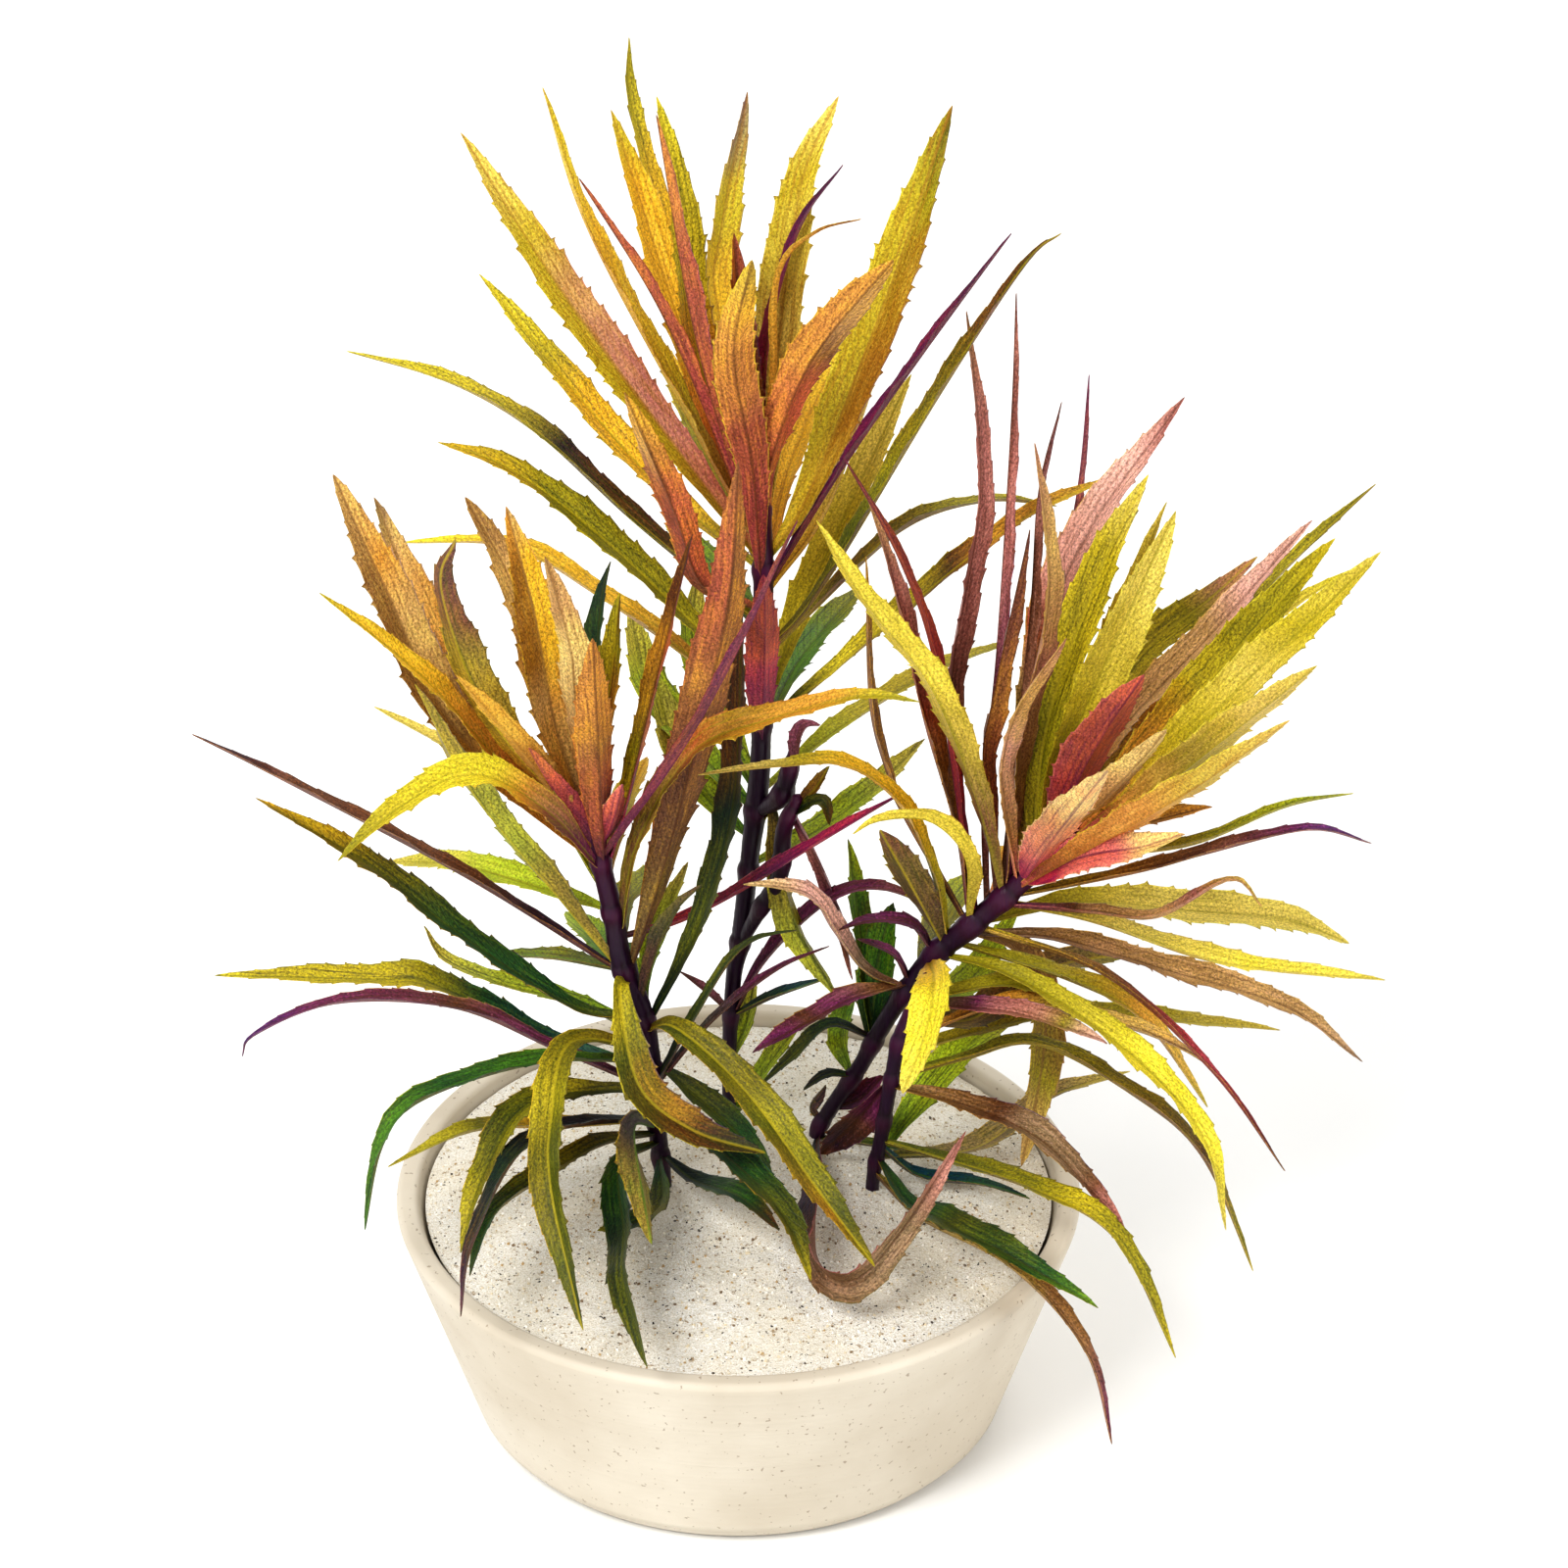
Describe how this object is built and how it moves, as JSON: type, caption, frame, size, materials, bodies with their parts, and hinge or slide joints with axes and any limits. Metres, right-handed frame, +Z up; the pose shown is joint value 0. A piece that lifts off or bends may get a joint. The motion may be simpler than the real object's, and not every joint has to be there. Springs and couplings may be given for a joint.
{
  "type": "potted broad leaf pogostemon stellatus",
  "caption": "Bushy aquarium plant with purple stems and whorls of long, narrow, toothed leaves in gold, olive, pink and green, standing in pale sand in a plain round pot.",
  "frame": {"origin": "centre of the pot's flat underside", "axes": "+Z up along the pot's axis; the plant is seen from the side of -Y, with +X to the right"},
  "size_m": [0.2536, 0.1642, 0.3064],
  "materials": {
    "pot": "matte, fine grained, unglazed",
    "sand": "loose fine sand with darker specks",
    "stem": "satin, near-black purple living stem",
    "leaf_crimson": "satin, crimson-purple living leaf",
    "leaf_gold": "satin, golden living leaf",
    "leaf_green": "satin, deep green living leaf",
    "leaf_mauve": "satin, mauve-brown living leaf",
    "leaf_olive": "satin, olive living leaf",
    "leaf_orange": "satin, orange-brown living leaf",
    "leaf_tan": "satin, tan living leaf",
    "leaf_teal": "satin, blue-green living leaf",
    "leaf_yellow": "satin, yellow-green living leaf"
  },
  "bodies": {
    "root": {"pot": "pot", "sand": "sand", "tall_stem": "stem", "left_stem": "stem", "right_stem": "stem", "low_stem": "stem", "tall_leaf_01": "leaf_gold", "tall_leaf_02": "leaf_olive", "tall_leaf_03": "leaf_orange", "tall_leaf_04": "leaf_olive", "tall_leaf_05": "leaf_gold", "tall_leaf_06": "leaf_olive", "tall_leaf_07": "leaf_gold", "tall_leaf_08": "leaf_orange", "tall_leaf_09": "leaf_gold", "tall_leaf_10": "leaf_gold", "tall_leaf_11": "leaf_orange", "tall_leaf_12": "leaf_yellow", "tall_leaf_13": "leaf_crimson", "tall_leaf_14": "leaf_olive", "tall_leaf_15": "leaf_olive", "tall_leaf_16": "leaf_olive", "tall_leaf_17": "leaf_yellow", "tall_leaf_18": "leaf_olive", "left_leaf_01": "leaf_tan", "left_leaf_02": "leaf_tan", "left_leaf_03": "leaf_yellow", "left_leaf_04": "leaf_olive", "left_leaf_05": "leaf_tan", "left_leaf_06": "leaf_tan", "left_leaf_07": "leaf_tan", "left_leaf_08": "leaf_orange", "left_leaf_09": "leaf_orange", "left_leaf_10": "leaf_yellow", "left_leaf_11": "leaf_green", "left_leaf_12": "leaf_yellow", "left_leaf_13": "leaf_green", "left_leaf_14": "leaf_green", "left_leaf_15": "leaf_olive", "left_leaf_16": "leaf_olive", "left_leaf_17": "leaf_green", "left_leaf_18": "leaf_olive", "left_leaf_19": "leaf_green", "left_leaf_20": "leaf_teal", "left_leaf_21": "leaf_green", "right_leaf_01": "leaf_yellow", "right_leaf_02": "leaf_mauve", "right_leaf_03": "leaf_olive", "right_leaf_04": "leaf_yellow", "right_leaf_05": "leaf_mauve", "right_leaf_06": "leaf_olive", "right_leaf_07": "leaf_yellow", "right_leaf_08": "leaf_yellow", "right_leaf_09": "leaf_yellow", "right_leaf_10": "leaf_yellow", "right_leaf_11": "leaf_yellow", "right_leaf_12": "leaf_mauve", "low_leaf_01": "leaf_mauve", "low_leaf_02": "leaf_olive", "low_leaf_03": "leaf_green"}
  },
  "joints": []
}
